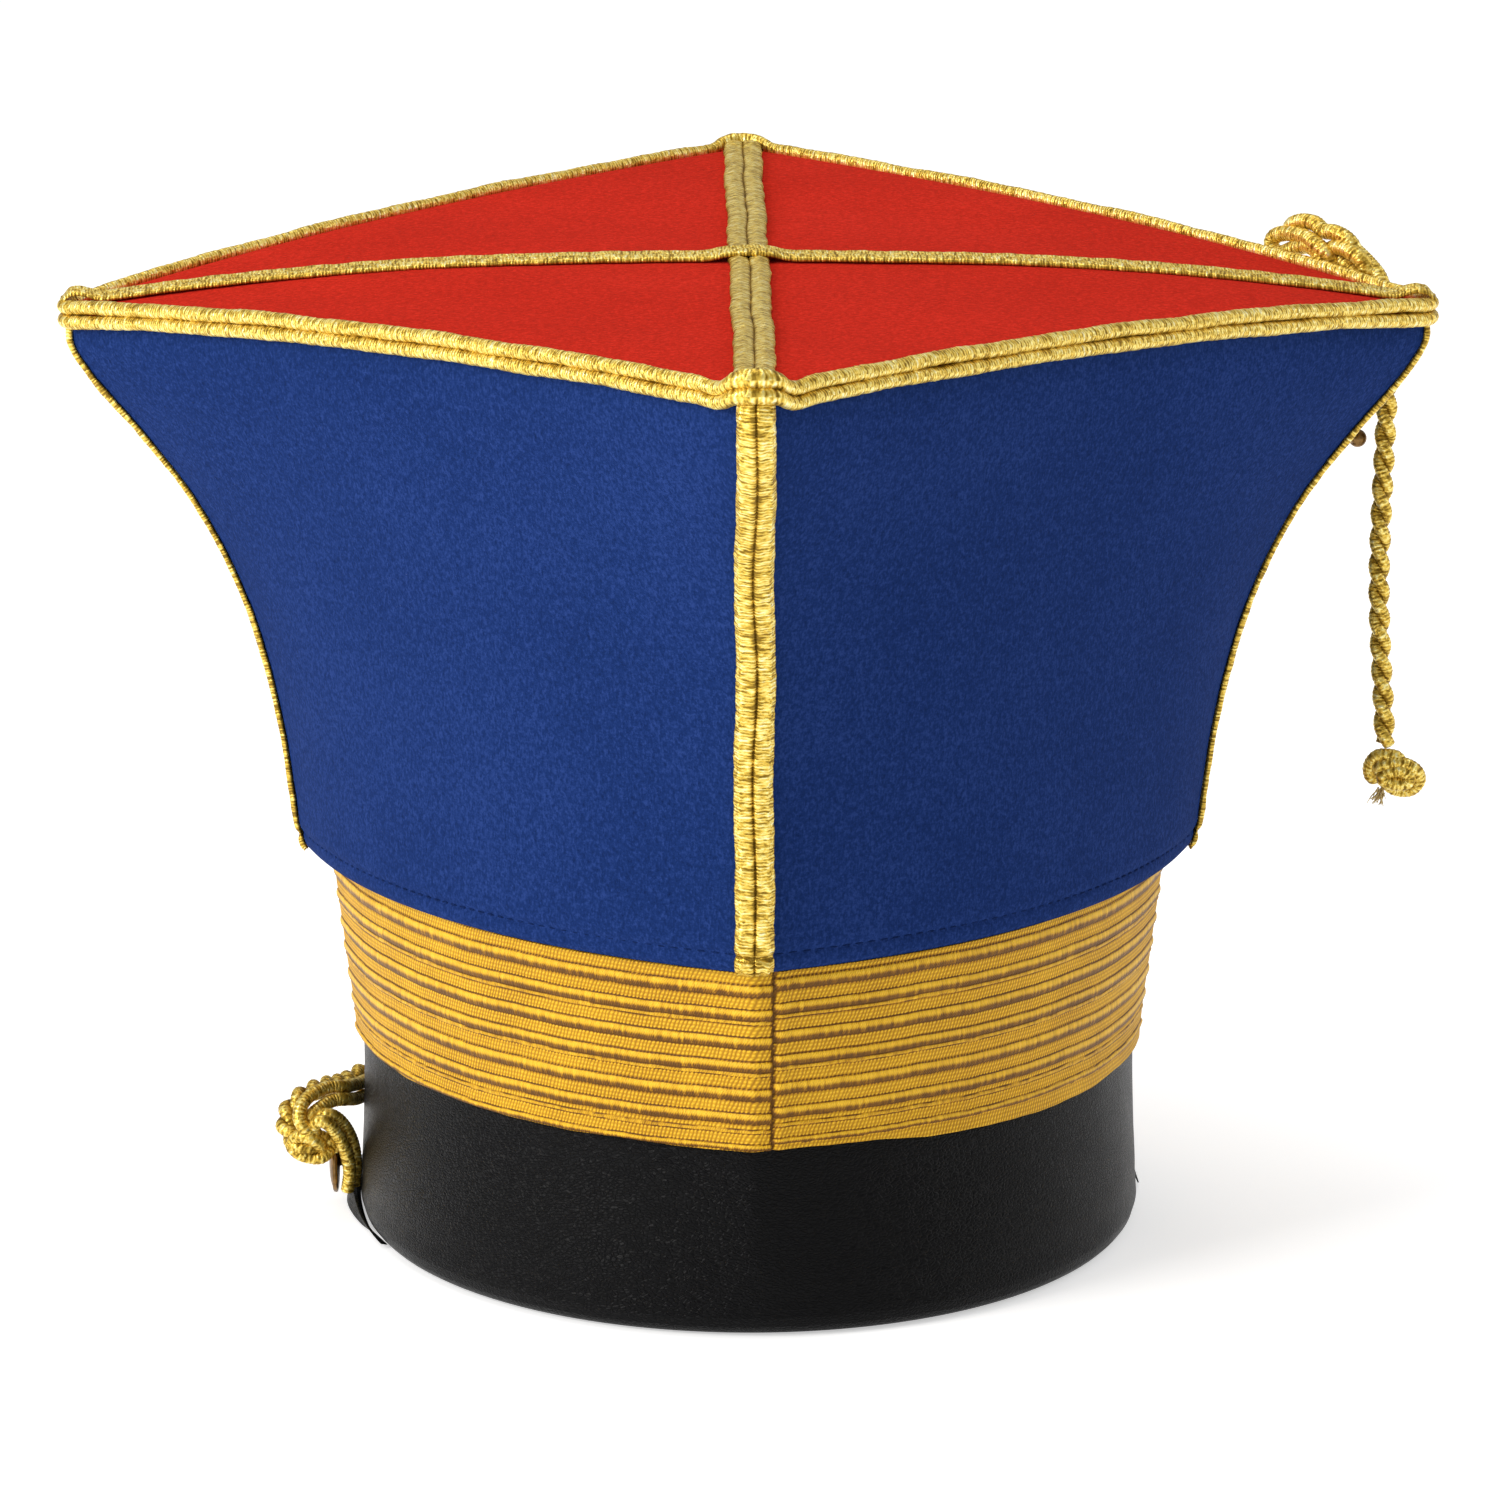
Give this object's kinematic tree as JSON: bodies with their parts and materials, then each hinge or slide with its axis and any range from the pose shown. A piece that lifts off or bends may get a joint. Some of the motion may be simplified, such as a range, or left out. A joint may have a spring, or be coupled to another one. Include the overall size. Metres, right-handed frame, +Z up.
{
  "type": "lancer cap",
  "caption": "Stiff parade cap with a leather base, ribbed lace band, flared cloth sides, square crown with gold braid, peak and corner cord",
  "frame": {"origin": "on the ground under the middle of the head opening", "axes": "+Z up, +Y the way the wearer looks and the peak points, +X the wearer's right"},
  "size_m": [0.2974, 0.2974, 0.2141],
  "materials": {
    "black_leather": "grained black leather, half matt",
    "yellow_lace": "woven yellow lace with satin ribs",
    "blue_cloth": "milled wool cloth, royal blue",
    "red_cloth": "milled wool cloth, scarlet",
    "gold_braid": "padded braid covered with gold thread",
    "gold_cord": "twisted cord of gold thread",
    "dark_brass": "dark bronzed brass"
  },
  "bodies": {
    "root": {"leather_base": "black_leather", "lace_band": "yellow_lace", "panel_front_right": "blue_cloth", "panel_front_left": "blue_cloth", "panel_back_left": "blue_cloth", "panel_back_right": "blue_cloth", "crown_front_right": "red_cloth", "crown_front_left": "red_cloth", "crown_back_left": "red_cloth", "crown_back_right": "red_cloth", "seam_braid_right": "gold_braid", "seam_braid_front": "gold_braid", "seam_braid_left": "gold_braid", "seam_braid_back": "gold_braid", "top_braid_wide": "gold_braid", "top_braid_back": "gold_braid", "top_braid_front": "gold_braid", "rim_cord_upper": "gold_braid", "rim_cord_lower": "gold_braid", "peak": "black_leather", "chin_cord": "gold_cord", "cord_eye_left": "gold_cord", "cord_eye_right": "gold_cord", "side_button_left": "dark_brass", "side_button_right": "dark_brass", "corner_knot": "gold_cord", "corner_cord": "gold_cord", "cord_end_knot": "gold_cord", "corner_hook": "dark_brass"}
  },
  "joints": []
}
